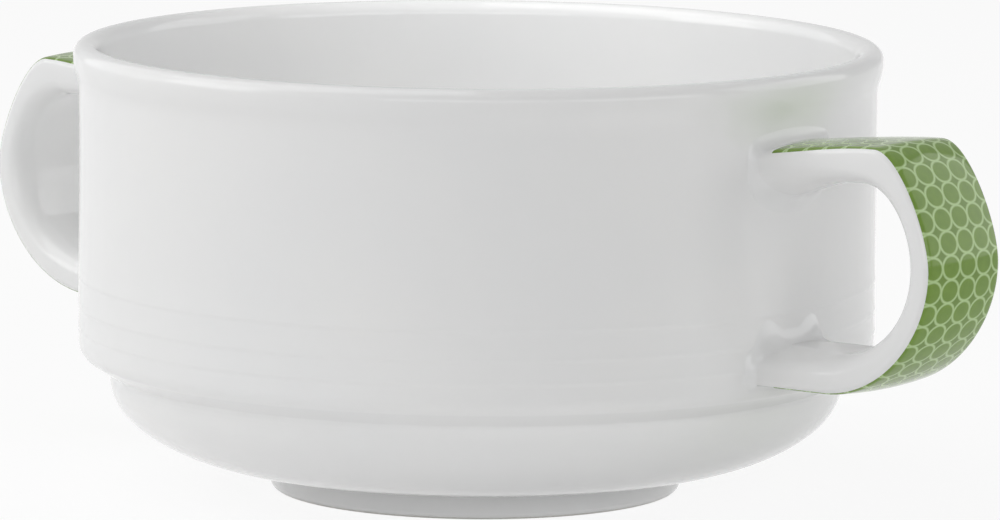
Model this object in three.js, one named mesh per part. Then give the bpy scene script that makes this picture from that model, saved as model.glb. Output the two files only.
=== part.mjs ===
// Cream soup cup: a stackable porcelain bowl with two strap handles, each printed with a decal band.
// Millimetres, +Z up. The origin is the centre of the standing face, and the handles lie along X.
import * as THREE from "three";

// Cup body, outside
const CUP_HEIGHT = 58.7;
const WALL_DIAMETER = 104.5;
const LIP_FLARE = 0.75;
const LIP_FLARE_HEIGHT = 6.4;
const LIP_THICKNESS = 3.4;
const LIP_ROUNDING = 1.6;
const SHOULDER_HEIGHT = 18.1;
const SHOULDER_STEP = 4.2;
const SHOULDER_DROP = 2.65;
const SHOULDER_ROUNDING = 1.4;
const NECK_HEIGHT = 1.2;
const BOWL_FULLNESS = 0.52;

// Foot ring
const FOOT_DIAMETER = 53.8;
const FOOT_HEIGHT = 3.8;
const FOOT_TAPER = 1.8;
const FOOT_ROUNDING = 0.8;
const FOOT_RING_WIDTH = 3.2;
const FOOT_RECESS = 2.4;
const FOOT_COVE = 1.6;

// Cup body, inside
const WALL_THICKNESS = 3.6;
const FLOOR_THICKNESS = 4.4;
const FLOOR_FLAT_RADIUS = 20;
const INNER_CURVE_ABOVE_SHOULDER = 5.9;

// Strap handles
const HANDLE_REACH = 27.6;
const HANDLE_BELOW_RIM = 7.05;
const HANDLE_BULGE_HEIGHT = 17.1;
const HANDLE_WIDTH = 15.3;
const HANDLE_THICKNESS = 4.4;
const UPPER_ARM_LENGTH = 18.6;
const UPPER_ARM_RISE = 1.6;
const UPPER_ARM_BEND = 12;
const UPPER_ARM_THICKNESS = 4.95;
const UPPER_ROOT_DEPTH = 7;
const INNER_ARM_LENGTH = 15.65;
const INNER_ARM_BEND = 8.8;
const LOWER_ARM_LENGTH = 10.75;
const LOWER_ARM_THICKNESS = 5.15;

// Section of the strap, which changes from its bulge to its roots
const CROWN = { bulge: 0.42, upper: 0.42, lower: 0.2 };
const INNER_ROUNDING_WIDTH = { bulge: 3.2, upper: 6.8, lower: 5.5 };
const INNER_ROUNDING_DEPTH = { bulge: 2.2, upper: 4.2, lower: 3 };
const OUTER_EDGE_ROUNDING = 0.5;
const ROOT_CHANGE_LENGTH = 19;

// Slip fillets that bond the handles to the wall, the lower ones with two ears
const JOINT_GAP = 0.3;
const FILLET_EDGE = 0.25;
const UPPER_FILLET = { outer: 2, side: 1.2, inner: 2.2, ear: 0 };
const LOWER_FILLET = { outer: 0.8, side: 1.4, inner: 1.7, ear: 1.1 };
const EAR_PLACE = 4.2;
const EAR_SPAN = 2.8;

// Fired decal bands on the handles' outer faces
const DECAL_WIDTH = 14.6;
const DECAL_THICKNESS = 0.2;
const DECAL_GAP = 0.1;
const DECAL_UPPER_MARGIN = 2.4;
const DECAL_LOWER_MARGIN = 3;

// Shape factors of the curves, and facet counts
const OUTER_FULLNESS = { cornerOut: 0.435, cornerUp: 0.33, bendDown: 0.485, bendOut: 0.57 };
const INNER_FULLNESS = { cornerOut: 0.57, cornerUp: 0.47, bendDown: 0.57, bendOut: 0.53 };
const FLARE_FULLNESS = 0.5;
const LATHE_SEGMENTS = 64;
const FINE_STEPS = 4;
const BROAD_STEPS = 8;
const SAME_POINT = 0.001;
const RAIL_DIVISIONS = [7, 9, 10, 4];
const HALF_WIDTH_STEPS = [0, 0.35, 0.6, 0.78, 0.9, 0.97, 1];
const DECAL_HALF_STEPS = [0, 0.5, 1];
const FILLET_ARC_STEPS = 4;

const wallRadius = WALL_DIAMETER / 2;
const lipRadius = wallRadius + LIP_FLARE;
const neckRadius = wallRadius - SHOULDER_STEP;
const innerRadius = wallRadius - WALL_THICKNESS;
const footRadius = FOOT_DIAMETER / 2;
const handleBottom = SHOULDER_HEIGHT + SHOULDER_ROUNDING;
const handleTop = CUP_HEIGHT - HANDLE_BELOW_RIM;
const bulgeHeight = handleBottom + HANDLE_BULGE_HEIGHT;
const upperRoot = handleTop - UPPER_ARM_RISE;
const halfWidth = HANDLE_WIDTH / 2;

const glaze = { color: 0xf4f3f0, roughness: 0.12, metalness: 0 };
const slip = { color: 0xefeeea, roughness: 0.2, metalness: 0 };
const decal = { color: 0x6e9146, roughness: 0.15, metalness: 0 };

// Half section of the cup, from the underside's centre round the outside and lip to the floor's centre.
function cupProfile() {
  const at = (radius, z) => new THREE.Vector2(radius, z);
  const profile = [at(0, FOOT_RECESS)];
  const follow = (curve, steps) => profile.push(...curve.getPoints(steps));

  const ringInner = footRadius - FOOT_RING_WIDTH;
  const footTop = at(footRadius + FOOT_TAPER, FOOT_HEIGHT);
  follow(new THREE.QuadraticBezierCurve(
    at(ringInner - FOOT_COVE, FOOT_RECESS), at(ringInner, FOOT_RECESS), at(ringInner, 0),
  ), FINE_STEPS);
  follow(quarterTurn(footRadius - FOOT_ROUNDING, FOOT_ROUNDING, FOOT_ROUNDING, -Math.PI / 2), FINE_STEPS);

  const neckBottom = at(neckRadius, SHOULDER_HEIGHT - SHOULDER_DROP - NECK_HEIGHT);
  const bowlRun = (neckBottom.x - footTop.x) * BOWL_FULLNESS;
  const bowlRise = (neckBottom.y - footTop.y) * BOWL_FULLNESS;
  follow(new THREE.CubicBezierCurve(
    footTop, at(footTop.x + bowlRun, footTop.y), at(neckBottom.x, neckBottom.y - bowlRise), neckBottom,
  ), BROAD_STEPS);
  profile.push(at(neckRadius, neckBottom.y + NECK_HEIGHT));
  const slope = at(SHOULDER_STEP, SHOULDER_DROP).setLength(SHOULDER_ROUNDING);
  follow(new THREE.QuadraticBezierCurve(
    at(wallRadius - slope.x, SHOULDER_HEIGHT - slope.y),
    at(wallRadius, SHOULDER_HEIGHT),
    at(wallRadius, SHOULDER_HEIGHT + SHOULDER_ROUNDING),
  ), FINE_STEPS);

  const flareBottom = CUP_HEIGHT - LIP_FLARE_HEIGHT;
  const innerRounding = LIP_THICKNESS - LIP_ROUNDING;
  const ridge = lipRadius - LIP_ROUNDING;
  follow(uprightBend(at(wallRadius, flareBottom), at(lipRadius, CUP_HEIGHT - LIP_ROUNDING)), FINE_STEPS);
  follow(quarterTurn(ridge, CUP_HEIGHT - LIP_ROUNDING, LIP_ROUNDING, 0), FINE_STEPS);
  follow(quarterTurn(ridge, CUP_HEIGHT - innerRounding, innerRounding, Math.PI / 2), FINE_STEPS);
  const lipInner = at(lipRadius - LIP_THICKNESS, CUP_HEIGHT - innerRounding);
  follow(uprightBend(lipInner, at(innerRadius, flareBottom)), FINE_STEPS);

  const floorZ = FOOT_RECESS + FLOOR_THICKNESS;
  const curveTop = SHOULDER_HEIGHT + INNER_CURVE_ABOVE_SHOULDER;
  follow(new THREE.EllipseCurve(
    FLOOR_FLAT_RADIUS, curveTop, innerRadius - FLOOR_FLAT_RADIUS, curveTop - floorZ, 0, -Math.PI / 2, true,
  ), BROAD_STEPS);
  profile.push(at(0, floorZ));
  return profile.filter((point, step) => step === 0 || point.distanceTo(profile[step - 1]) > SAME_POINT);
}

// A quarter of a circle, turned on anticlockwise from the start angle.
function quarterTurn(x, z, radius, start) {
  return new THREE.EllipseCurve(x, z, radius, radius, start, start + Math.PI / 2, false);
}

// A curve that leaves its start and reaches its end upright.
function uprightBend(start, end) {
  const lift = (end.y - start.y) * FLARE_FULLNESS;
  return new THREE.CubicBezierCurve(
    start, new THREE.Vector2(start.x, start.y + lift), new THREE.Vector2(end.x, end.y - lift), end,
  );
}

function cupGeometry() {
  const geometry = new THREE.LatheGeometry(cupProfile(), LATHE_SEGMENTS);
  return geometry.rotateX(Math.PI / 2);
}

// Side view along the middle of a handle's face: top arm, corner, round lower bend, lower arm.
// Each place is given by its distance from the wall and its height.
function handleRail(rootHeight, armBend, cornerPlace, bulgePlace, lowerPlace, fullness) {
  const at = ([reach, height]) => new THREE.Vector2(wallRadius + reach, height);
  const corner = at(cornerPlace);
  const bulge = at(bulgePlace);
  const lowerArm = at(lowerPlace);
  const cornerRun = (bulge.x - corner.x) * fullness.cornerOut;
  const cornerRise = (corner.y - bulge.y) * fullness.cornerUp;
  const bendRun = (bulge.x - lowerArm.x) * fullness.bendOut;
  const bendRise = (bulge.y - lowerArm.y) * fullness.bendDown;
  const rail = new THREE.CurvePath();
  rail.add(new THREE.QuadraticBezierCurve(at([JOINT_GAP, rootHeight]), at([armBend, corner.y]), corner));
  rail.add(new THREE.CubicBezierCurve(
    corner,
    new THREE.Vector2(corner.x + cornerRun, corner.y),
    new THREE.Vector2(bulge.x, bulge.y + cornerRise),
    bulge,
  ));
  rail.add(new THREE.CubicBezierCurve(
    bulge,
    new THREE.Vector2(bulge.x, bulge.y - bendRise),
    new THREE.Vector2(lowerArm.x + bendRun, lowerArm.y),
    lowerArm,
  ));
  rail.add(new THREE.LineCurve(lowerArm, at([JOINT_GAP, lowerArm.y])));
  return rail;
}

const outerRail = handleRail(
  upperRoot,
  UPPER_ARM_BEND,
  [UPPER_ARM_LENGTH, handleTop],
  [HANDLE_REACH, bulgeHeight],
  [LOWER_ARM_LENGTH, handleBottom],
  OUTER_FULLNESS,
);
const innerRail = handleRail(
  upperRoot - UPPER_ROOT_DEPTH,
  INNER_ARM_BEND,
  [INNER_ARM_LENGTH, handleTop - UPPER_ARM_THICKNESS],
  [HANDLE_REACH - HANDLE_THICKNESS, bulgeHeight],
  [LOWER_ARM_LENGTH, handleBottom + LOWER_ARM_THICKNESS],
  INNER_FULLNESS,
);
const railLength = outerRail.getLength();

// Distances along the outer face at which the handle has a section.
function railStations() {
  const ends = outerRail.getCurveLengths();
  const stations = [0];
  ends.forEach((end, index) => {
    const start = index ? ends[index - 1] : 0;
    for (let step = 1; step <= RAIL_DIVISIONS[index]; step += 1) {
      stations.push(start + ((end - start) * step) / RAIL_DIVISIONS[index]);
    }
  });
  return stations;
}

// The middle of the outer face at a distance along it, and the middle of the inner face opposite.
function facingPoints(distance) {
  const ends = outerRail.getCurveLengths();
  const run = ends.findIndex((end) => distance < end + SAME_POINT);
  const start = run ? ends[run - 1] : 0;
  const share = Math.min(1, (distance - start) / (ends[run] - start));
  return [outerRail, innerRail].map((rail) => rail.curves[run].getPointAt(share));
}

// A size of the strap's section, which is one at the bulge and another at each root.
function sectionSize(size, distance) {
  const nearRoot = (run) => 1 - THREE.MathUtils.smoothstep(run, 0, ROOT_CHANGE_LENGTH);
  const upper = (size.upper - size.bulge) * nearRoot(distance);
  const lower = (size.lower - size.bulge) * nearRoot(railLength - distance);
  return size.bulge + upper + lower;
}

// How far an edge falls away at a place across the strap, where its rounding is part of an ellipse.
function edgeFall(across, width, depth) {
  const run = Math.max(0, Math.abs(across) - (halfWidth - width));
  return depth * (1 - Math.sqrt(Math.max(0, 1 - (run / width) ** 2)));
}

// The wall's bend across the strap: how far the wall lies behind its front line.
function wallFall(across, radius) {
  return radius - Math.sqrt(radius * radius - across * across);
}

// A point of the strap's space: along the outer face, across the strap, and in from the crown line.
function strapPoint(distance, across, depth) {
  const [outer, inner] = facingPoints(distance);
  const point = inner.sub(outer).setLength(depth).add(outer);
  const nearest = Math.min(distance, railLength - distance);
  const wrap = 1 - THREE.MathUtils.smoothstep(nearest, 0, halfWidth);
  return new THREE.Vector3(point.x - wrap * wallFall(across, wallRadius + JOINT_GAP), across, point.y);
}

function crownFall(distance, across) {
  return sectionSize(CROWN, distance) * (across / halfWidth) ** 2;
}

// Places from side to side across a band, from steps of its half width.
function placesAcross(steps, half) {
  const mirrored = steps.slice(1).reverse().map((step) => -step);
  return [...mirrored, ...steps].map((step) => step * half);
}

// One closed section of the strap: the outer face from side to side, then the inner face back.
function strapSection(distance) {
  const [outerMiddle, innerMiddle] = facingPoints(distance);
  const thickness = outerMiddle.distanceTo(innerMiddle);
  const roundingWidth = sectionSize(INNER_ROUNDING_WIDTH, distance);
  const roundingDepth = sectionSize(INNER_ROUNDING_DEPTH, distance);
  const sides = placesAcross(HALF_WIDTH_STEPS, halfWidth);
  const outer = sides.map((across) => {
    const fall = edgeFall(across, OUTER_EDGE_ROUNDING, OUTER_EDGE_ROUNDING);
    return strapPoint(distance, across, crownFall(distance, across) + fall);
  });
  const inner = sides.map((across) => {
    return strapPoint(distance, across, thickness - edgeFall(across, roundingWidth, roundingDepth));
  });
  return [...outer, ...inner.reverse()];
}

// Skins a row of closed sections. An open row is capped at both ends in strips across the section.
function skin(sections, closed) {
  const count = sections[0].length;
  const rows = closed ? sections.length : sections.length - 1;
  const index = (row, step) => (row % sections.length) * count + (step % count);
  const triangles = [];
  const quad = (a, b, c, d) => triangles.push(a, c, b, a, d, c);
  for (let row = 0; row < rows; row += 1) {
    for (let step = 0; step < count; step += 1) {
      quad(index(row, step), index(row, step + 1), index(row + 1, step + 1), index(row + 1, step));
    }
  }
  if (!closed) {
    for (let step = 0; step < count / 2 - 1; step += 1) {
      const facing = count - 1 - step;
      quad(index(0, step), index(0, facing), index(0, facing - 1), index(0, step + 1));
      quad(index(rows, step), index(rows, step + 1), index(rows, facing - 1), index(rows, facing));
    }
  }
  const geometry = new THREE.BufferGeometry().setFromPoints(sections.flat());
  geometry.setIndex(triangles);
  geometry.computeVertexNormals();
  return geometry;
}

function handleGeometry() {
  return skin(railStations().map(strapSection), false);
}

// A thin band that follows the strap's outer face between the margins at its roots.
function decalGeometry() {
  const start = DECAL_UPPER_MARGIN;
  const end = railLength - DECAL_LOWER_MARGIN;
  const inside = railStations().filter((distance) => distance > start && distance < end);
  const sides = placesAcross(DECAL_HALF_STEPS, DECAL_WIDTH / 2);
  const sections = [start, ...inside, end].map((distance) => {
    const layer = (lift) => sides.map((across) => {
      return strapPoint(distance, across, crownFall(distance, across) - lift);
    });
    return [...layer(DECAL_GAP + DECAL_THICKNESS), ...layer(DECAL_GAP).reverse()];
  });
  return skin(sections, false);
}

// A hollow-faced fillet that runs round a handle's root, between the strap's sides and the cup's wall.
function filletGeometry(rootDistance, inward, size) {
  const reach = Math.max(size.outer, size.side, size.inner + size.ear);
  const foot = strapSection(rootDistance);
  const above = strapSection(rootDistance + inward * reach);
  const sections = foot.map((point, step) => {
    const before = foot[(step + foot.length - 1) % foot.length];
    const after = foot[(step + 1) % foot.length];
    const away = new THREE.Vector2(after.z - before.z, before.y - after.y).normalize().multiplyScalar(-inward);
    const onOuterFace = step < foot.length / 2;
    const faceRadius = onOuterFace ? size.outer : size.inner + size.ear * earShare(point.y);
    const radius = Math.hypot(away.x * size.side, away.y * faceRadius);
    return filletOutline(radius).map(({ off, lift }) => {
      const y = THREE.MathUtils.lerp(point.y, above[step].y, lift / reach) + away.x * off;
      const z = THREE.MathUtils.lerp(point.z, above[step].z, lift / reach) + away.y * off;
      return new THREE.Vector3(wallRadius - wallFall(y, wallRadius) + lift, y, z);
    });
  });
  return skin(inward > 0 ? sections.reverse() : sections, true);
}

// How much of an ear's extra radius a place across the strap has.
function earShare(across) {
  return 1 - THREE.MathUtils.smoothstep(Math.abs(Math.abs(across) - EAR_PLACE), 0, EAR_SPAN);
}

// Outline of the fillet: off is the distance from the strap, lift the distance from the wall.
function filletOutline(radius) {
  const outline = [
    { off: JOINT_GAP, lift: radius },
    { off: JOINT_GAP, lift: JOINT_GAP },
    { off: radius, lift: JOINT_GAP },
  ];
  const sweep = radius - JOINT_GAP - FILLET_EDGE;
  for (let step = 0; step <= FILLET_ARC_STEPS; step += 1) {
    const angle = (Math.PI / 2) * (step / FILLET_ARC_STEPS);
    outline.push({ off: radius - sweep * Math.sin(angle), lift: radius - sweep * Math.cos(angle) });
  }
  return outline;
}

function addMesh(group, name, geometry, finish) {
  const mesh = new THREE.Mesh(geometry, new THREE.MeshStandardMaterial(finish));
  mesh.name = name;
  group.add(mesh);
}

const cup = new THREE.Group();
addMesh(cup, "cup_body", cupGeometry(), glaze);
for (const [side, turn] of [["right", 0], ["left", Math.PI]]) {
  const fittings = new THREE.Group();
  fittings.rotation.z = turn;
  addMesh(fittings, `handle_${side}`, handleGeometry(), glaze);
  addMesh(fittings, `slip_joint_upper_${side}`, filletGeometry(0, 1, UPPER_FILLET), slip);
  addMesh(fittings, `slip_joint_lower_${side}`, filletGeometry(railLength, -1, LOWER_FILLET), slip);
  addMesh(fittings, `decal_band_${side}`, decalGeometry(), decal);
  cup.add(fittings);
}

export default cup;
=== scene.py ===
"""A cream soup cup in glazed porcelain, with printed bands on its handles, in a plain pale studio."""
import math

import bpy
import numpy as np
from mathutils import Matrix, Vector


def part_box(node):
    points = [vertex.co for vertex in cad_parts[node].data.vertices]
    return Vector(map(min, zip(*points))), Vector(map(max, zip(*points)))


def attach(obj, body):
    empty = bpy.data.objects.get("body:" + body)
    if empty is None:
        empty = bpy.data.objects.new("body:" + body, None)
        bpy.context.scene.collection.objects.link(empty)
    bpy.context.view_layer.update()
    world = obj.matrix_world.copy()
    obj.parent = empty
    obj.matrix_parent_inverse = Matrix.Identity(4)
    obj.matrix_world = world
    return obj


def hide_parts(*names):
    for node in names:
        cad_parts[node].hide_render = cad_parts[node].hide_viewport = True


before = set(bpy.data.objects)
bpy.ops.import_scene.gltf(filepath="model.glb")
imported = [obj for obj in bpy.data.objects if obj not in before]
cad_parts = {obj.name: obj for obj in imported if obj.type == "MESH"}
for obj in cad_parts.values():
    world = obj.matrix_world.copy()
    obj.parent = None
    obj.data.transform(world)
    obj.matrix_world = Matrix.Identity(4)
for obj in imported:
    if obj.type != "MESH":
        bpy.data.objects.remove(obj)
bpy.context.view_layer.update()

MM = 0.001  # shapes are worked out in millimetres, and stored in metres

# Sizes that the frame gives
cup_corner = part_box("cup_body")[1] / MM
handle_low, handle_high = (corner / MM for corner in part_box("handle_right"))
LIP_RADIUS = cup_corner.y
CUP_HEIGHT = cup_corner.z
HANDLE_BOTTOM = handle_low.z
HANDLE_TOP = handle_high.z
BULGE_X = handle_high.x
HALF_WIDTH = handle_high.y

# Cup body, with its lengths in millimetres like those of the other pieces
LIP_FLARE = 0.75
LIP_FLARE_HEIGHT = 6.4
LIP_THICKNESS = 3.4
LIP_ROUNDING = 1.6
SHOULDER_HEIGHT = 18.1
SHOULDER_STEP = 4.2
SHOULDER_DROP = 2.65
SHOULDER_ROUNDING = 1.4
NECK_HEIGHT = 1.2
NECK_ROUNDING = 0.6
BOWL_FULLNESS = 0.52
WALL_THICKNESS = 3.6
BOWL_FLOOR_THICKNESS = 4.4
BOWL_FLOOR_RADIUS = 20
INNER_CURVE_ABOVE_SHOULDER = 5.9
FLARE_FULLNESS = 0.5

# Foot ring
FOOT_RADIUS = 26.9
FOOT_HEIGHT = 3.8
FOOT_TAPER = 1.8
FOOT_ROUNDING = 0.8
FOOT_RING_WIDTH = 3.2
FOOT_RECESS = 2.4
FOOT_COVE = 1.6
FOOT_EDGE = 0.4
FOOT_TOP_ROUNDING = 0.8
BARE_FOOT_HEIGHT = 0.3

# Faint turned rings on the wall: the wall swells slowly downwards, then steps back
RING_HEIGHTS = (28.4, 24.6, 21.6)
RING_RELIEF = 0.09
RING_SWELL = 2.4
RING_STEP = 0.5

# Strap handles
BULGE_ABOVE_BOTTOM = 17.1
HANDLE_THICKNESS = 4.4
UPPER_ARM_LENGTH = 18.6
UPPER_ARM_RISE = 1.6
UPPER_ARM_BEND = 12
UPPER_ARM_THICKNESS = 4.95
UPPER_ROOT_DEPTH = 7
INNER_ARM_LENGTH = 15.65
INNER_ARM_BEND = 8.8
LOWER_ARM_LENGTH = 10.75
LOWER_ARM_THICKNESS = 5.15
CROWN = {"bulge": 0.42, "upper": 0.9, "lower": 0.2}
INNER_ROUNDING_WIDTH = {"bulge": 3.2, "upper": 6.8, "lower": 5.5}
INNER_ROUNDING_DEPTH = {"bulge": 2.2, "upper": 4.2, "lower": 3.0}
OUTER_EDGE_WIDTH = 0.9
OUTER_EDGE_DEPTH = {"bulge": 0.8, "upper": 1.3, "lower": 0.8}
CROWN_RISE = 0.3
ROOT_CHANGE_LENGTH = 19
OUTER_FULLNESS = {"corner": (0.435, 0.33), "bend": (0.57, 0.485)}
INNER_FULLNESS = {"corner": (0.57, 0.47), "bend": (0.53, 0.57)}
ELLIPSE_FULLNESS = 0.5523
ROOT_GAP = 0.3
ROOT_SUNK = 1.0

# Slip fillets round the roots: their radius on the outer face, at the sides and on the inner face,
# and what two ears add to it on the inner face
UPPER_FILLET = {"outer": 2.0, "side": 1.2, "inner": 2.2, "ear": 0.0}
LOWER_FILLET = {"outer": 0.8, "side": 1.4, "inner": 2.0, "ear": 1.9}
EAR_PLACE = 4.2
EAR_SPAN = 2.8
FILLET_SUNK = 0.03  # its edges lie this far below the strap and the wall
FILLET_BACK = 0.6  # its hidden side lies this far behind both
FILLET_RUN = 5  # its edge is looked for on this length of the strap

# Printed bands: a lattice of discs
BAND_WIDTH = 14.6
BAND_LIFT = 0.02
BAND_SUNK = 0.04
BAND_UPPER_MARGIN = 2.4
BAND_LOWER_MARGIN = 3
DISC_PITCH_ALONG = 3.08
DISC_PITCH_ACROSS = 3.4
BULGE_TO_DISC = 0.5  # along the strap, from the bulge to the next disc above it
BAND_SHIFT = 0.3  # of the lattice across the strap
DISC_FILL = 0.437  # radius of the green disc, in cells
DISC_RING = 0.537  # radius of the pale ring round it, in cells
PRINT_SOFTNESS = 0.03  # of the print's edges, in cells
HALF_CELL = 0.5

# Mesh fineness
LATHE_SEGMENTS = 256
CURVE_STEPS = 14
EDGE_STEPS = 6
FLAT_STEPS = 10
RAIL_SAMPLES = 400
STATION_SPACING = 0.5
WALL_POINTS_PER_MM = 2
RING_ZONE_POINTS = 60
RING_ZONE_CLEARANCE = 0.2  # from the rings to the next point on the wall
LEAST_STEP = 0.03  # points of the section that are nearer than this are one
BAND_SHARP_ANGLE = 30

WALL_RADIUS = LIP_RADIUS - LIP_FLARE
NECK_RADIUS = WALL_RADIUS - SHOULDER_STEP
INNER_RADIUS = WALL_RADIUS - WALL_THICKNESS
FLARE_BOTTOM = CUP_HEIGHT - LIP_FLARE_HEIGHT
CUP_MIDDLE = Vector((0, 0, CUP_HEIGHT / 2 * MM))

# Surfaces: linear colours, noise scales per metre, and bumps as a strength and a depth
GLAZE_COLOURS = ((0.91, 0.91, 0.905, 1), (0.895, 0.898, 0.898, 1))
# Glaze of the slip fillets, a little darker and greyer than the rest: painted shade in the creases
# between handle and wall
SHADED_JOINT_GLAZE_COLOURS = ((0.90, 0.902, 0.90, 1), (0.885, 0.89, 0.89, 1))
BARE_CLAY_COLOURS = ((0.74, 0.72, 0.68, 1), (0.82, 0.81, 0.78, 1))
DISC_COLOURS = ((0.165, 0.29, 0.036, 1), (0.19, 0.322, 0.043, 1))
DISC_RING_COLOUR = (0.48, 0.66, 0.30, 1)
GAP_COLOURS = ((0.155, 0.27, 0.04, 1), (0.18, 0.30, 0.05, 1))
WHITE = (1, 1, 1, 1)
GLAZE_ROUGHNESS = (0.07, 0.12)
PRINT_ROUGHNESS = (0.06, 0.1)
BARE_CLAY_ROUGHNESS = 0.75
PRINT_SPECULAR = 0.35
TONE_SCALE = 45
TONE_RANGE = (0.35, 0.65)
GLOSS_SCALE = 160
RIPPLE_SCALE = 70
PEEL_SCALE = 700
GRAIN_SCALE = 2500
INK_SCALE = 900
NOISE_RANGE = (0.3, 0.7)
RIPPLE_BUMP = (0.08, 0.2 * MM)
PEEL_BUMP = (0.03, 0.05 * MM)
GRAIN_BUMP = (0.4, 0.05 * MM)
COLOUR_MIX_INPUTS = (0, 6, 7)  # of a mix node: its share and its two colours
COLOUR_MIX_OUTPUT = 2

# Camera, in degrees and metres, with its lens in millimetres: azimuth 0 looks along +Y
CAMERA_AZIMUTH = 40.0
CAMERA_ELEVATION = 8.1
CAMERA_ROLL = 0.467
CAMERA_DISTANCE = 1.033
CAMERA_LENS = 283.1
CAMERA_FAR_LIMIT = 50
AIM_RIGHT = 3.05 * MM
AIM_UP = 0.6 * MM

# Softboxes: their turn from the camera's azimuth and their elevation in degrees, and lengths in metres
SOFTBOXES = {
    "key_left": dict(turn=-83, elevation=24, distance=1.1, width=0.6, height=0.6, brightness=2.2),
    "low_left": dict(turn=-85, elevation=9, distance=1.0, width=0.9, height=0.36, brightness=0.55),
    "back_left": dict(turn=-125, elevation=22, distance=1.1, width=0.9, height=0.9, brightness=0.6),
    "high_left": dict(turn=-90, elevation=64, distance=1.15, width=1.1, height=1.1, brightness=1.3),
    "low_front": dict(turn=-3, elevation=10, distance=1.3, width=1.2, height=0.42, brightness=1.7),
    "low_front_left": dict(turn=-50, elevation=12, distance=1.2, width=0.9, height=0.5, brightness=0.35),
    "low_front_right": dict(turn=45, elevation=12, distance=1.2, width=0.9, height=0.45, brightness=1.75),
    "panel_right": dict(turn=104, elevation=21, distance=1.0, width=0.8, height=0.75, brightness=1.2),
    "overhead": dict(turn=0, elevation=88, distance=0.9, width=1.6, height=1.6, brightness=0.17),
}

# Lamp for the inside of the bowl, in degrees, metres and watts
INSIDE_LAMP_TURN = -8
INSIDE_LAMP_ELEVATION = 55
INSIDE_LAMP_DISTANCE = 0.8
INSIDE_LAMP_RADIUS = 0.012
INSIDE_LAMP_CONE = 7
INSIDE_LAMP_FADE = 1.0
INSIDE_LAMP_POWER = 9.0
INSIDE_LAMP_AIM = 0.6  # share of the way from the cup's axis to the far side

# Surroundings and floor
SURROUNDINGS_STRENGTH = 0.06
SURROUNDINGS_WHITENESS = 0.75
FLOOR_HALF_SIZE = 3.0  # in metres
FLOOR_CLEARANCE = 0.05  # below the foot, so that the two don't share a plane
FLOOR_COLOUR = (0.95, 0.95, 0.95, 1)
FLOOR_ROUGHNESS = 0.9
FLOOR_SPECULAR = 0.1
FLOOR_WHITENESS = 0.9


def bezier(points, steps):
    """Points along the Bezier curve with these control points."""
    share = np.linspace(0, 1, steps + 1)[:, None]
    level = [np.asarray(point, float) for point in points]
    while len(level) > 1:
        level = [(1 - share) * a + share * b for a, b in zip(level, level[1:])]
    return level[0]


def smoothstep(share):
    """A share that leaves 0 and reaches 1 gently."""
    share = np.clip(share, 0, 1)
    return share * share * (3 - 2 * share)


def quarter(start, corner, end):
    """A quarter of an ellipse from start to end, square to the lines that meet at the corner."""
    start, corner, end = (np.asarray(point, float) for point in (start, corner, end))
    first = start + (corner - start) * ELLIPSE_FULLNESS
    second = end + (corner - end) * ELLIPSE_FULLNESS
    return bezier([start, first, second, end], CURVE_STEPS)


def upright_bend(start, end):
    """A curve that leaves its start and reaches its end upright."""
    lift = (end[1] - start[1]) * FLARE_FULLNESS
    return bezier([start, (start[0], start[1] + lift), (end[0], end[1] - lift), end], CURVE_STEPS)


def softened(before, corner, after, radius):
    """A corner between two straight runs, rounded over radius each way."""
    before, corner, after = (np.asarray(point, float) for point in (before, corner, after))
    into = (before - corner) / np.linalg.norm(before - corner)
    out = (after - corner) / np.linalg.norm(after - corner)
    return bezier([corner + into * radius, corner, corner + out * radius], EDGE_STEPS)


def ring_relief(height):
    """How far the turned rings stand out of the wall at a height."""
    relief = np.zeros_like(height)
    for ring in RING_HEIGHTS:
        swell = np.clip(1 - (height - ring) / RING_SWELL, 0, 1) ** 2
        step = smoothstep((height - ring + RING_STEP) / RING_STEP)
        relief = np.maximum(relief, RING_RELIEF * swell * step)
    return relief


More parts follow.
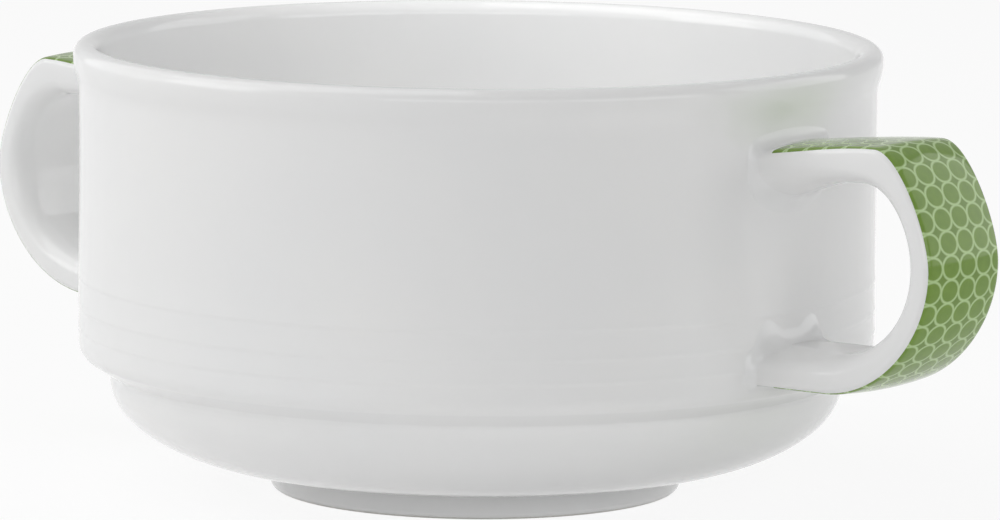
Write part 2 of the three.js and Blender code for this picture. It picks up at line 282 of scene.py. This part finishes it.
def cup_profile():
    """Half section from the underside's centre, round the outside and lip, to the floor's centre."""
    ring_inner = FOOT_RADIUS - FOOT_RING_WIDTH
    cove = (ring_inner - FOOT_COVE, FOOT_RECESS)
    foot_top = (FOOT_RADIUS + FOOT_TAPER, FOOT_HEIGHT)
    bowl_start = (foot_top[0] + FOOT_TOP_ROUNDING, FOOT_HEIGHT)
    neck_top = (NECK_RADIUS, SHOULDER_HEIGHT - SHOULDER_DROP)
    neck_bottom = (NECK_RADIUS, neck_top[1] - NECK_HEIGHT)
    bowl_run = (neck_bottom[0] - foot_top[0]) * BOWL_FULLNESS
    bowl_rise = (neck_bottom[1] - foot_top[1]) * BOWL_FULLNESS
    bowl_low = (foot_top[0] + bowl_run, FOOT_HEIGHT)
    bowl_high = (NECK_RADIUS, neck_bottom[1] - bowl_rise)
    slope = np.array([SHOULDER_STEP, SHOULDER_DROP]) / math.hypot(SHOULDER_STEP, SHOULDER_DROP)
    shoulder = np.array([WALL_RADIUS, SHOULDER_HEIGHT])
    wall_start = shoulder + (0, SHOULDER_ROUNDING)
    wall_points = WALL_POINTS_PER_MM * int(FLARE_BOTTOM - wall_start[1])
    wall_heights = np.linspace(wall_start[1], FLARE_BOTTOM, wall_points)
    ring_zone = np.linspace(wall_start[1], max(RING_HEIGHTS) + RING_SWELL, RING_ZONE_POINTS)
    plain = wall_heights > ring_zone[-1] + RING_ZONE_CLEARANCE
    heights = np.union1d(ring_zone, wall_heights[plain])
    wall = np.stack([WALL_RADIUS + ring_relief(heights), heights], axis=1)
    ridge = LIP_RADIUS - LIP_ROUNDING
    lip_inner = LIP_RADIUS - LIP_THICKNESS
    inner_rounding = LIP_THICKNESS - LIP_ROUNDING
    floor = FOOT_RECESS + BOWL_FLOOR_THICKNESS
    curve_top = SHOULDER_HEIGHT + INNER_CURVE_ABOVE_SHOULDER
    runs = [
        bezier([(0, FOOT_RECESS), cove], EDGE_STEPS),
        bezier([cove, (ring_inner, FOOT_RECESS), (ring_inner, FOOT_EDGE)], CURVE_STEPS),
        bezier([(ring_inner, FOOT_EDGE), (ring_inner, 0), (ring_inner + FOOT_EDGE, 0)], EDGE_STEPS),
        quarter((FOOT_RADIUS - FOOT_ROUNDING, 0), (FOOT_RADIUS, 0), (FOOT_RADIUS, FOOT_ROUNDING)),
        softened((FOOT_RADIUS, FOOT_ROUNDING), foot_top, bowl_start, FOOT_TOP_ROUNDING),
        bezier([bowl_start, bowl_low, bowl_high, neck_bottom], 2 * CURVE_STEPS),
        softened(neck_bottom, neck_top, shoulder, NECK_ROUNDING),
        bezier([shoulder - slope * SHOULDER_ROUNDING, shoulder, wall_start], CURVE_STEPS),
        wall,
        upright_bend((WALL_RADIUS, FLARE_BOTTOM), (LIP_RADIUS, CUP_HEIGHT - LIP_ROUNDING)),
        quarter((LIP_RADIUS, CUP_HEIGHT - LIP_ROUNDING), (LIP_RADIUS, CUP_HEIGHT), (ridge, CUP_HEIGHT)),
        quarter((ridge, CUP_HEIGHT), (lip_inner, CUP_HEIGHT), (lip_inner, CUP_HEIGHT - inner_rounding)),
        upright_bend((lip_inner, CUP_HEIGHT - inner_rounding), (INNER_RADIUS, curve_top)),
        quarter((INNER_RADIUS, curve_top), (INNER_RADIUS, floor), (BOWL_FLOOR_RADIUS, floor)),
        bezier([(BOWL_FLOOR_RADIUS, floor), (0, floor)], EDGE_STEPS),
    ]
    points = np.vstack(runs)
    moved = np.linalg.norm(np.diff(points, axis=0), axis=1) > LEAST_STEP
    return points[np.concatenate([[True], moved])]


def new_piece(name, points, faces, material, replaced):
    """A piece of the object from points in millimetres. It rides on the cup and stands for a node."""
    mesh = bpy.data.meshes.new(name)
    mesh.from_pydata((np.asarray(points) * MM).tolist(), [], faces)
    mesh.validate()
    mesh.shade_smooth()
    piece = bpy.data.objects.new(name, mesh)
    bpy.context.scene.collection.objects.link(piece)
    mesh.materials.append(material)
    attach(piece, "root")
    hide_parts(replaced)
    return piece


def turned(points, side):
    """The points as they are on the right, or half a turn round the cup's axis on the left."""
    return points if side == "right" else points * (-1, -1, 1)


def grid_faces(rows, columns, closed_rows=False):
    """Quads between the rows of a grid whose columns run round in a loop."""
    faces = []
    for row in range(rows if closed_rows else rows - 1):
        for column in range(columns):
            across = (column + 1) % columns
            below = row * columns
            above = ((row + 1) % rows) * columns
            faces.append((below + column, below + across, above + across, above + column))
    return faces


def tube_faces(rows, columns):
    """Faces of a tube whose rows are its sections, with a cap on each end."""
    faces = [face[::-1] for face in grid_faces(rows, columns)]
    faces.append(tuple(range(columns)))
    faces.append(tuple(range(rows * columns - 1, (rows - 1) * columns - 1, -1)))
    return faces


def make_cup_body(glaze, bisque):
    """The bowl with its foot ring, turned from one section, whose standing face is bare."""
    profile = cup_profile()
    turn = np.linspace(0, 2 * math.pi, LATHE_SEGMENTS, endpoint=False)
    ring = profile[1:-1]
    points = np.stack([
        np.outer(ring[:, 0], np.cos(turn)),
        np.outer(ring[:, 0], np.sin(turn)),
        np.outer(ring[:, 1], np.ones_like(turn)),
    ], axis=-1).reshape(-1, 3)
    faces = grid_faces(len(ring), LATHE_SEGMENTS)
    under, floor = len(points), len(points) + 1
    last = (len(ring) - 1) * LATHE_SEGMENTS
    for step in range(LATHE_SEGMENTS):
        after = (step + 1) % LATHE_SEGMENTS
        faces.append((after, step, under))
        faces.append((last + step, last + after, floor))
    points = np.vstack([points, (0, 0, profile[0][1]), (0, 0, profile[-1][1])])
    body = new_piece("porcelain_body", points, faces, glaze, "cup_body")
    body.data.materials.append(bisque)
    bare = body.data.materials.find(bisque.name)
    for face in body.data.polygons:
        if all(body.data.vertices[index].co.z < BARE_FOOT_HEIGHT * MM for index in face.vertices):
            face.material_index = bare


def path_distances(points):
    """Distances along a row of points."""
    return np.concatenate([[0], np.cumsum(np.linalg.norm(np.diff(points, axis=0), axis=1))])


def evenly(points):
    """The same curve with its points at even distances."""
    distances = path_distances(points)
    even = np.linspace(0, distances[-1], len(points))
    return np.stack([np.interp(even, distances, column) for column in points.T], axis=1)


def handle_rail(root_height, arm_bend, corner, bulge, lower, fullness):
    """Side view along the middle of a handle's face: top arm, corner, round lower bend, lower arm."""
    root = WALL_RADIUS + ROOT_GAP
    corner, bulge, lower = (
        np.array([WALL_RADIUS + reach, height]) for reach, height in (corner, bulge, lower))
    corner_run, corner_rise = np.abs(bulge - corner) * fullness["corner"]
    bend_run, bend_rise = np.abs(bulge - lower) * fullness["bend"]
    curves = [
        [(root, root_height), (WALL_RADIUS + arm_bend, corner[1]), corner],
        [corner, corner + (corner_run, 0), bulge + (0, corner_rise), bulge],
        [bulge, bulge - (0, bend_rise), lower + (bend_run, 0), lower],
        [lower, (root, lower[1])],
    ]
    runs = [evenly(bezier(curve, RAIL_SAMPLES))[:-1] for curve in curves]
    return np.vstack([*runs, (root, lower[1])])


BULGE_HEIGHT = HANDLE_BOTTOM + BULGE_ABOVE_BOTTOM
UPPER_ROOT = HANDLE_TOP - UPPER_ARM_RISE
REACH = BULGE_X - WALL_RADIUS
OUTER_RAIL = handle_rail(
    root_height=UPPER_ROOT + CROWN_RISE,
    arm_bend=UPPER_ARM_BEND,
    corner=(UPPER_ARM_LENGTH, HANDLE_TOP + CROWN_RISE),
    bulge=(REACH, BULGE_HEIGHT),
    lower=(LOWER_ARM_LENGTH, HANDLE_BOTTOM),
    fullness=OUTER_FULLNESS)
INNER_RAIL = handle_rail(
    root_height=UPPER_ROOT - UPPER_ROOT_DEPTH,
    arm_bend=INNER_ARM_BEND,
    corner=(INNER_ARM_LENGTH, HANDLE_TOP - UPPER_ARM_THICKNESS),
    bulge=(REACH - HANDLE_THICKNESS, BULGE_HEIGHT),
    lower=(LOWER_ARM_LENGTH, HANDLE_BOTTOM + LOWER_ARM_THICKNESS),
    fullness=INNER_FULLNESS)
RAIL_DISTANCES = path_distances(OUTER_RAIL)
RAIL_LENGTH = RAIL_DISTANCES[-1]
STRAP_THICKNESS = np.linalg.norm(INNER_RAIL - OUTER_RAIL, axis=1)
STRAP_INWARD = (INNER_RAIL - OUTER_RAIL) / STRAP_THICKNESS[:, None]


def wall_fall(across):
    """How far the wall lies behind its front line at a place across the strap."""
    radius = WALL_RADIUS + ROOT_GAP
    return radius - np.sqrt(radius * radius - across * across)


def strap_points(distance, across, depth):
    """Points at places along the strap's outer face, across the strap and in from its crown line."""
    held = np.clip(distance, 0, RAIL_LENGTH)
    x, z = (np.interp(held, RAIL_DISTANCES, column) for column in OUTER_RAIL.T)
    inward_x, inward_z = (np.interp(held, RAIL_DISTANCES, column) for column in STRAP_INWARD.T)
    wrap = 1 - smoothstep(np.minimum(held, RAIL_LENGTH - held) / HALF_WIDTH)
    x = x + inward_x * depth - wrap * wall_fall(across) - np.abs(distance - held)
    return np.stack(np.broadcast_arrays(x, across, z + inward_z * depth), axis=-1)


def section_size(size, distance):
    """A size of the strap's section, which is one at the bulge and another at each root."""
    near_upper = 1 - smoothstep(distance / ROOT_CHANGE_LENGTH)
    near_lower = 1 - smoothstep((RAIL_LENGTH - distance) / ROOT_CHANGE_LENGTH)
    upper = (size["upper"] - size["bulge"]) * near_upper
    lower = (size["lower"] - size["bulge"]) * near_lower
    return size["bulge"] + upper + lower


def crown_fall(distance, across):
    """How far the crowned outer face falls away from its middle line."""
    return section_size(CROWN, distance) * (across / HALF_WIDTH) ** 2


def edge_fall(across, width, depth):
    """How far an edge that is rounded like an ellipse falls away at a place across the strap."""
    run = np.maximum(0, np.abs(across) - (HALF_WIDTH - width))
    return depth * (1 - np.sqrt(np.maximum(0, 1 - (run / width) ** 2)))


def outer_fall(distance, across):
    """How far the outer face lies in from its crown line."""
    edge_depth = section_size(OUTER_EDGE_DEPTH, distance)
    return crown_fall(distance, across) + edge_fall(across, OUTER_EDGE_WIDTH, edge_depth)


def places_across(rounding, steps):
    """Places from side to side across the strap, close together on its rounded edges."""
    turn = np.linspace(0, math.pi / 2, steps + 1)
    flat = np.linspace(0, HALF_WIDTH - rounding, FLAT_STEPS, endpoint=False)
    half = np.concatenate([flat, HALF_WIDTH - rounding + rounding * np.sin(turn)])
    return np.concatenate([-half[:0:-1], half])


def strap_section(distance):
    """One closed section of the strap: the outer face from side to side, then the inner face back."""
    width = section_size(INNER_ROUNDING_WIDTH, distance)
    outer = places_across(OUTER_EDGE_WIDTH, EDGE_STEPS)
    inner = places_across(width, CURVE_STEPS)[::-1]
    thickness = np.interp(distance, RAIL_DISTANCES, STRAP_THICKNESS)
    inner_depth = thickness - edge_fall(inner, width, section_size(INNER_ROUNDING_DEPTH, distance))
    depth = np.concatenate([outer_fall(distance, outer), inner_depth])
    return strap_points(distance, np.concatenate([outer, inner]), depth)


def make_handle(side, glaze):
    """A strap handle from root to root. Its ends reach a little into the wall."""
    sunk = ROOT_GAP + ROOT_SUNK
    count = int(RAIL_LENGTH / STATION_SPACING)
    stations = [-sunk, *np.linspace(0, RAIL_LENGTH, count), RAIL_LENGTH + sunk]
    sections = [strap_section(distance) for distance in stations]
    faces = tube_faces(len(sections), len(sections[0]))
    points = turned(np.vstack(sections), side)
    new_piece(f"porcelain_handle_{side}", points, faces, glaze, f"handle_{side}")


def around(values, axis):
    """The change from the point before to the point after, round a loop."""
    return np.roll(values, -1, axis=axis) - np.roll(values, 1, axis=axis)


def at_lifts(lifts, values, wanted):
    """Values on the strap where each line along it has risen to the wanted lift off the wall."""
    picked = []
    for step, lift in enumerate(wanted):
        picked.append([np.interp(lift, lifts[:, step], column) for column in values[:, step].T])
    return np.array(picked)


def fillet_row(lifts, strap, away, off, lift):
    """Points round a root, off the strap and lifted off the wall, with the wall's normals there."""
    row = at_lifts(lifts, strap, lift)
    row[:, 1:] += away * off[:, None]
    wall_x = np.sqrt(WALL_RADIUS ** 2 - row[:, 1] ** 2)
    row[:, 0] = wall_x + lift
    return row, np.column_stack([wall_x, row[:, 1], np.zeros(len(row))]) / WALL_RADIUS


def make_joint(level, side, glaze):
    """A hollow-faced slip fillet round a handle's root, flush with the strap and with the wall."""
    inward, root = (1, 0) if level == "upper" else (-1, RAIL_LENGTH)
    sizes = UPPER_FILLET if level == "upper" else LOWER_FILLET
    foot = strap_section(root)
    along = around(foot, axis=0)
    away = np.stack([along[:, 2], -along[:, 1]], axis=1)
    away *= -inward / np.linalg.norm(away, axis=1)[:, None]
    on_outer = np.arange(len(foot)) < len(places_across(OUTER_EDGE_WIDTH, EDGE_STEPS))
    ear = sizes["ear"] * (1 - smoothstep(np.abs(np.abs(foot[:, 1]) - EAR_PLACE) / EAR_SPAN))
    face_size = np.where(on_outer, sizes["outer"], sizes["inner"] + ear)
    radius = np.hypot(away[:, 0] * sizes["side"], away[:, 1] * face_size)

    runs = np.arange(-FILLET_BACK, FILLET_RUN, STATION_SPACING / 2)
    strap = np.array([strap_section(root + inward * run) for run in runs])
    lifts = strap[..., 0] - np.sqrt(WALL_RADIUS ** 2 - strap[..., 1] ** 2)
    facing = np.cross(np.gradient(strap, axis=0), around(strap, axis=1))
    facing *= np.sign((facing[..., 1:] * away).sum(axis=-1))[..., None]
    strap_normal = at_lifts(lifts, facing, radius)
    strap_normal /= np.linalg.norm(strap_normal, axis=1)[:, None]

    rows, normals = [], []
    for turn in np.linspace(0, math.pi / 2, CURVE_STEPS + 1):
        off = radius * (1 - math.sin(turn)) - FILLET_SUNK * math.sin(turn)
        lift = radius * (1 - math.cos(turn)) - FILLET_SUNK * math.cos(turn)
        row, wall_normal = fillet_row(lifts, strap, away, off, lift)
        rows.append(row)
        normals.append(math.cos(turn) * wall_normal + math.sin(turn) * strap_normal)
    behind = np.full_like(radius, -FILLET_BACK)
    back, back_normal = fillet_row(lifts, strap, away, behind, behind)
    rows.append(back)
    normals.append(-back_normal)
    faces = grid_faces(len(rows), len(foot), closed_rows=True)
    if inward > 0:
        faces = [face[::-1] for face in faces]
    name = f"slip_joint_{level}_{side}"
    points = turned(np.vstack(rows), side)
    joint = new_piece(f"glazed_{name}", points, faces, glaze, name)
    shading = turned(np.vstack(normals), side)
    shading /= np.linalg.norm(shading, axis=1)[:, None]
    joint.data.normals_split_custom_set_from_vertices(shading.tolist())


def make_band(side, printed):
    """The printed band on a handle's outer face: a thin closed skin with a map of lattice cells."""
    start, end = BAND_UPPER_MARGIN, RAIL_LENGTH - BAND_LOWER_MARGIN
    distances = np.linspace(start, end, int((end - start) / STATION_SPACING))
    places = places_across(OUTER_EDGE_WIDTH, EDGE_STEPS)
    inside = places[np.abs(places) < BAND_WIDTH / 2]
    across = np.concatenate([[-BAND_WIDTH / 2], inside, [BAND_WIDTH / 2]])
    rows = []
    for distance in distances:
        depth = outer_fall(distance, across)
        top = strap_points(distance, across, depth - BAND_LIFT)
        under = strap_points(distance, across, depth + BAND_SUNK)
        rows.append(np.vstack([top, under[::-1]]))
    faces = tube_faces(len(rows), len(rows[0]))
    points = turned(np.vstack(rows), side)
    band = new_piece(f"printed_band_{side}", points, faces, printed, f"decal_band_{side}")
    band.data.set_sharp_from_angle(angle=math.radians(BAND_SHARP_ANGLE))
    loop = np.concatenate([across, across[::-1]])
    bulge = RAIL_DISTANCES[2 * RAIL_SAMPLES]
    cells_along = np.repeat((distances - (bulge - BULGE_TO_DISC)) / DISC_PITCH_ALONG, len(loop))
    cells_across = np.tile((loop - BAND_SHIFT) / DISC_PITCH_ACROSS, len(rows))
    layer = band.data.uv_layers.new(name="lattice")
    corners = np.array([corner.vertex_index for corner in band.data.loops])
    layer.uv.foreach_set("vector", np.stack([cells_along, cells_across], axis=1)[corners].ravel())


class Nodes:
    """The node tree of a material or a world, with short calls to add nodes and to join them."""

    def __init__(self, owner):
        owner.use_nodes = True
        self.owner = owner
        self.tree = owner.node_tree
        self.shader = next(node for node in self.tree.nodes if "Surface" not in node.inputs)

    def add(self, kind, settings=None, **inputs):
        """A new node with these settings and inputs."""
        node = self.tree.nodes.new(f"ShaderNode{kind}")
        for key, value in (settings or {}).items():
            setattr(node, key, value)
        for key, value in inputs.items():
            self.feed(node.inputs[key], value)
        return node

    def feed(self, socket, value):
        """Joins a socket to another one, or sets it to a value."""
        if isinstance(value, bpy.types.NodeSocket):
            self.tree.links.new(value, socket)
        else:
            socket.default_value = value

    def surface(self, name, value):
        """Feeds an input of the surface's own shader."""
        self.feed(self.shader.inputs[name], value)

    def math(self, operation, *values):
        node = self.add("Math", {"operation": operation})
        for socket, value in zip(node.inputs, values):
            self.feed(socket, value)
        return node.outputs[0]

    def noise(self, scale, detail=2.0):
        place = self.add("TexCoord").outputs["Object"]
        return self.add("TexNoise", Vector=place, Scale=scale, Detail=detail).outputs["Fac"]

    def between(self, share, low, high, first, last):
        """Maps a share from first..last to low..high."""
        node = self.add("MapRange", Value=share)
        for key, value in (("From Min", first), ("From Max", last), ("To Min", low), ("To Max", high)):
            node.inputs[key].default_value = value
        return node.outputs["Result"]

    def mix(self, share, first, second):
        """A blend of two colours."""
        node = self.add("Mix", {"data_type": "RGBA"})
        for index, value in zip(COLOUR_MIX_INPUTS, (share, first, second)):
            self.feed(node.inputs[index], value)
        return node.outputs[COLOUR_MIX_OUTPUT]

    def white_background(self, share):
        """Whitens the surface as the camera and reflections see it, and leaves its diffuse light."""
        path = self.add("LightPath").outputs
        seen = self.math("MAXIMUM", path["Is Camera Ray"], path["Is Glossy Ray"])
        seen = self.math("MAXIMUM", seen, path["Is Transmission Ray"])
        glow = self.add("Background" if self.shader.bl_idname == "ShaderNodeBackground" else "Emission")
        self.feed(glow.inputs["Color"], WHITE)
        self.feed(glow.inputs["Strength"], 1.0)
        blend = self.add("MixShader")
        sources = (self.math("MULTIPLY", seen, share), self.shader.outputs[0], glow.outputs[0])
        for socket, value in zip(blend.inputs, sources):
            self.feed(socket, value)
        output = next(node for node in self.tree.nodes if "Surface" in node.inputs)
        self.feed(output.inputs["Surface"], blend.outputs[0])

    def bump(self, height, strength, distance, normal=None):
        """The normal of a bumpy surface, on top of another normal where there is one."""
        node = self.add("Bump", Height=height, Strength=strength, Distance=distance)
        if normal is not None:
            self.feed(node.inputs["Normal"], normal)
        return node.outputs["Normal"]


def glaze_material(name, colours):
    """Clear fired glaze: a slow drift of tone, slightly uneven gloss, and a faint orange peel."""
    nodes = Nodes(bpy.data.materials.new(name))
    drift = nodes.between(nodes.noise(TONE_SCALE, detail=3), 0, 1, *TONE_RANGE)
    nodes.surface("Base Color", nodes.mix(drift, *colours))
    nodes.surface("Roughness", nodes.between(nodes.noise(GLOSS_SCALE), *GLAZE_ROUGHNESS, *NOISE_RANGE))
    ripple = nodes.bump(nodes.noise(RIPPLE_SCALE, detail=1), *RIPPLE_BUMP)
    nodes.surface("Normal", nodes.bump(nodes.noise(PEEL_SCALE, detail=1), *PEEL_BUMP, ripple))
    return nodes.owner


def bisque_material():
    """The bare standing face: matt fired clay with a fine grain."""
    nodes = Nodes(bpy.data.materials.new("bare_foot"))
    grain = nodes.noise(GRAIN_SCALE, detail=4)
    nodes.surface("Base Color", nodes.mix(grain, *BARE_CLAY_COLOURS))
    nodes.surface("Roughness", BARE_CLAY_ROUGHNESS)
    nodes.surface("Normal", nodes.bump(grain, *GRAIN_BUMP))
    return nodes.owner


def print_material():
    """A lattice of green discs in pale rings under the glaze, slightly uneven like any print."""
    nodes = Nodes(bpy.data.materials.new("printed_band"))
    cell = nodes.add("UVMap", {"uv_map": "lattice"}).outputs["UV"]
    split = nodes.add("SeparateXYZ", Vector=cell)
    offsets = []
    for axis in ("X", "Y"):
        shifted = nodes.math("ADD", split.outputs[axis], HALF_CELL)
        offsets.append(nodes.math("SUBTRACT", nodes.math("FRACT", shifted), HALF_CELL))
    squares = [nodes.math("MULTIPLY", offset, offset) for offset in offsets]
    radius = nodes.math("SQRT", nodes.math("ADD", *squares))
    in_ring = nodes.between(radius, 0, 1, DISC_FILL - PRINT_SOFTNESS, DISC_FILL + PRINT_SOFTNESS)
    in_gap = nodes.between(radius, 0, 1, DISC_RING - PRINT_SOFTNESS, DISC_RING + PRINT_SOFTNESS)
    density = nodes.between(nodes.noise(INK_SCALE, detail=3), 0, 1, *NOISE_RANGE)
    disc = nodes.mix(density, *DISC_COLOURS)
    gap = nodes.mix(density, *GAP_COLOURS)
    nodes.surface("Base Color", nodes.mix(in_gap, nodes.mix(in_ring, disc, DISC_RING_COLOUR), gap))
    nodes.surface("Roughness", nodes.between(nodes.noise(GLOSS_SCALE), *PRINT_ROUGHNESS, *NOISE_RANGE))
    nodes.surface("Specular IOR Level", PRINT_SPECULAR)
    nodes.surface("Normal", nodes.bump(nodes.noise(PEEL_SCALE, detail=1), *PEEL_BUMP))
    return nodes.owner


def direction(azimuth, elevation):
    """Towards a place round the cup. Azimuth 0 is in front, and elevation is above the horizon."""
    turn, rise = math.radians(azimuth), math.radians(elevation)
    return Vector((math.sin(turn) * math.cos(rise), -math.cos(turn) * math.cos(rise), math.sin(rise)))


def make_camera():
    """The camera, with a slight roll, aimed a little off the cup's middle."""
    back = direction(CAMERA_AZIMUTH, CAMERA_ELEVATION)
    level_right = Vector((0, 0, 1)).cross(back).normalized()
    level_up = back.cross(level_right)
    roll = math.radians(CAMERA_ROLL)
    right = level_right * math.cos(roll) + level_up * math.sin(roll)
    up = back.cross(right)
    place = CUP_MIDDLE + back * CAMERA_DISTANCE
    forward = (CUP_MIDDLE + right * AIM_RIGHT + up * AIM_UP - place).normalized()
    right = (right - forward * right.dot(forward)).normalized()
    camera = bpy.data.objects.new("camera", bpy.data.cameras.new("camera"))
    camera.data.lens = CAMERA_LENS
    camera.data.clip_end = CAMERA_FAR_LIMIT
    axes = Matrix((right, right.cross(forward), -forward)).transposed().to_4x4()
    camera.matrix_world = Matrix.Translation(place) @ axes
    bpy.context.scene.collection.objects.link(camera)
    bpy.context.scene.camera = camera


def place_lamp(lamp, place, towards):
    """Hangs a lamp at a place, where it shines back along the direction towards it."""
    holder = bpy.data.objects.new(lamp.name, lamp)
    holder.location = place
    holder.rotation_euler = towards.to_track_quat("Z", "Y").to_euler()
    bpy.context.scene.collection.objects.link(holder)
    return holder


def softbox(name, turn, elevation, distance, width, height, brightness):
    """A rectangular lamp that faces the cup. Brightness is what a white card would show of it."""
    lamp = bpy.data.lights.new(name, "AREA")
    lamp.shape = "RECTANGLE"
    lamp.size = width
    lamp.size_y = height
    lamp.energy = brightness * math.pi * width * height
    towards = direction(CAMERA_AZIMUTH + turn, elevation)
    place_lamp(lamp, towards * distance + CUP_MIDDLE, towards)


def inside_lamp():
    """A narrow lamp from high in front for the far side of the bowl's inside. It leaves no glint."""
    lamp = bpy.data.lights.new("inside_lamp", "SPOT")
    lamp.energy = INSIDE_LAMP_POWER
    lamp.spot_size = math.radians(INSIDE_LAMP_CONE)
    lamp.spot_blend = INSIDE_LAMP_FADE
    lamp.shadow_soft_size = INSIDE_LAMP_RADIUS
    azimuth = CAMERA_AZIMUTH + INSIDE_LAMP_TURN
    towards = direction(azimuth, INSIDE_LAMP_ELEVATION)
    to_front = direction(azimuth, 0) * INNER_RADIUS * MM * INSIDE_LAMP_AIM
    flare = Vector((0, 0, FLARE_BOTTOM * MM))
    spot = place_lamp(lamp, towards * INSIDE_LAMP_DISTANCE - to_front + flare, towards)
    spot.visible_glossy = False


def make_floor():
    """A plain white floor that keeps the cup's shadow."""
    half, low = FLOOR_HALF_SIZE, -FLOOR_CLEARANCE * MM
    corners = [(-half, -half, low), (half, -half, low), (half, half, low), (-half, half, low)]
    mesh = bpy.data.meshes.new("floor")
    mesh.from_pydata(corners, [], [(0, 1, 2, 3)])
    floor = bpy.data.objects.new("floor", mesh)
    bpy.context.scene.collection.objects.link(floor)
    nodes = Nodes(bpy.data.materials.new("white_floor"))
    nodes.surface("Base Color", FLOOR_COLOUR)
    nodes.surface("Roughness", FLOOR_ROUGHNESS)
    nodes.surface("Specular IOR Level", FLOOR_SPECULAR)
    nodes.white_background(FLOOR_WHITENESS)
    mesh.materials.append(nodes.owner)


def make_studio():
    """Pale surroundings, softboxes round the cup, a lamp for its inside, and a floor."""
    scene = bpy.context.scene
    scene.view_settings.view_transform = "Standard"
    scene.world = bpy.data.worlds.new("studio")
    surroundings = Nodes(scene.world)
    surroundings.surface("Color", WHITE)
    surroundings.surface("Strength", SURROUNDINGS_STRENGTH)
    surroundings.white_background(SURROUNDINGS_WHITENESS)
    for name, setting in SOFTBOXES.items():
        softbox(name, **setting)
    inside_lamp()
    make_floor()


def make_cup():
    """The nine pieces of the cup."""
    glaze = glaze_material("porcelain_glaze", GLAZE_COLOURS)
    # The fillets' glaze is a little darker than the body's: painted shade in the creases round the roots
    shaded_joint_glaze = glaze_material("luted_joint_glaze", SHADED_JOINT_GLAZE_COLOURS)
    printed = print_material()
    make_cup_body(glaze, bisque_material())
    for side in ("right", "left"):
        make_handle(side, glaze)
        make_band(side, printed)
        for level in ("upper", "lower"):
            make_joint(level, side, shaded_joint_glaze)


make_camera()
make_studio()
make_cup()
